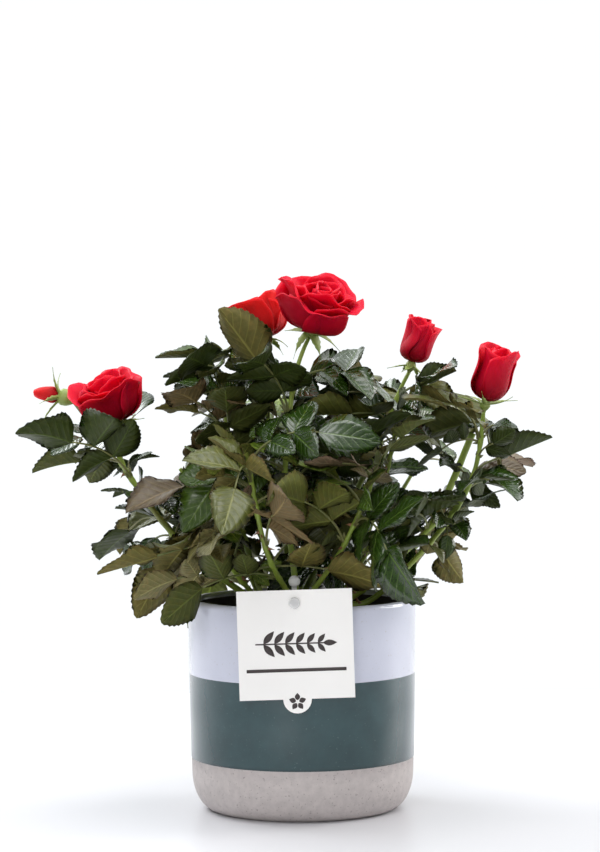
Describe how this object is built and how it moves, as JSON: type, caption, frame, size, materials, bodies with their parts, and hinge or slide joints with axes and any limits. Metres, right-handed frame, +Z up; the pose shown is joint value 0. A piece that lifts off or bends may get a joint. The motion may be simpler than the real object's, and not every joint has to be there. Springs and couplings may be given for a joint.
{
  "type": "potted rose bush",
  "caption": "Miniature rose bush with red blossom in a round three-band ceramic pot, with a blank card on a clear pick.",
  "frame": {"origin": "centre of the pot's flat underside", "axes": "+Z up along the pot's axis; -Y towards the side that carries the card; +X to the right seen from that side"},
  "size_m": [0.3084, 0.2672, 0.3146],
  "materials": {
    "glazed_pot": "gloss",
    "potting_soil": "rough",
    "card": "satin",
    "clear_pick": "gloss",
    "stem": "satin",
    "leaf": "satin",
    "calyx": "matte",
    "petal": "matte"
  },
  "bodies": {
    "root": {"pot": "glazed_pot", "soil": "potting_soil", "tag_card": "card", "tag_pick": "clear_pick", "cane_left": "stem", "cane_front": "stem", "cane_right": "stem", "cane_back": "stem", "cane_far": "stem", "bough_left": "stem", "leaves_left": "leaf", "bough_upper_left": "stem", "leaves_upper_left": "leaf", "bough_low_left": "stem", "leaves_low_left": "leaf", "bough_left_back": "stem", "leaves_left_back": "leaf", "bough_centre": "stem", "leaves_centre": "leaf", "bough_front": "stem", "leaves_front": "leaf", "bough_front_right": "stem", "leaves_front_right": "leaf", "bough_right": "stem", "leaves_right": "leaf", "bough_mid_right": "stem", "leaves_mid_right": "leaf", "bough_low_right": "stem", "leaves_low_right": "leaf", "bough_second": "stem", "leaves_second": "leaf", "bough_right_back": "stem", "leaves_right_back": "leaf", "bough_back_left": "stem", "leaves_back_left": "leaf", "bough_back": "stem", "leaves_back": "leaf", "bough_far_right": "stem", "leaves_far_right": "leaf", "bough_far_low": "stem", "leaves_far_low": "leaf", "pruned_stub": "stem", "calyx_main": "calyx", "bloom_main": "petal", "calyx_second": "calyx", "bloom_second": "petal", "calyx_left": "calyx", "bloom_left": "petal", "calyx_bud": "calyx", "bloom_bud": "petal", "calyx_goblet": "calyx", "bloom_goblet": "petal", "calyx_right": "calyx", "bloom_right": "petal"}
  },
  "joints": []
}
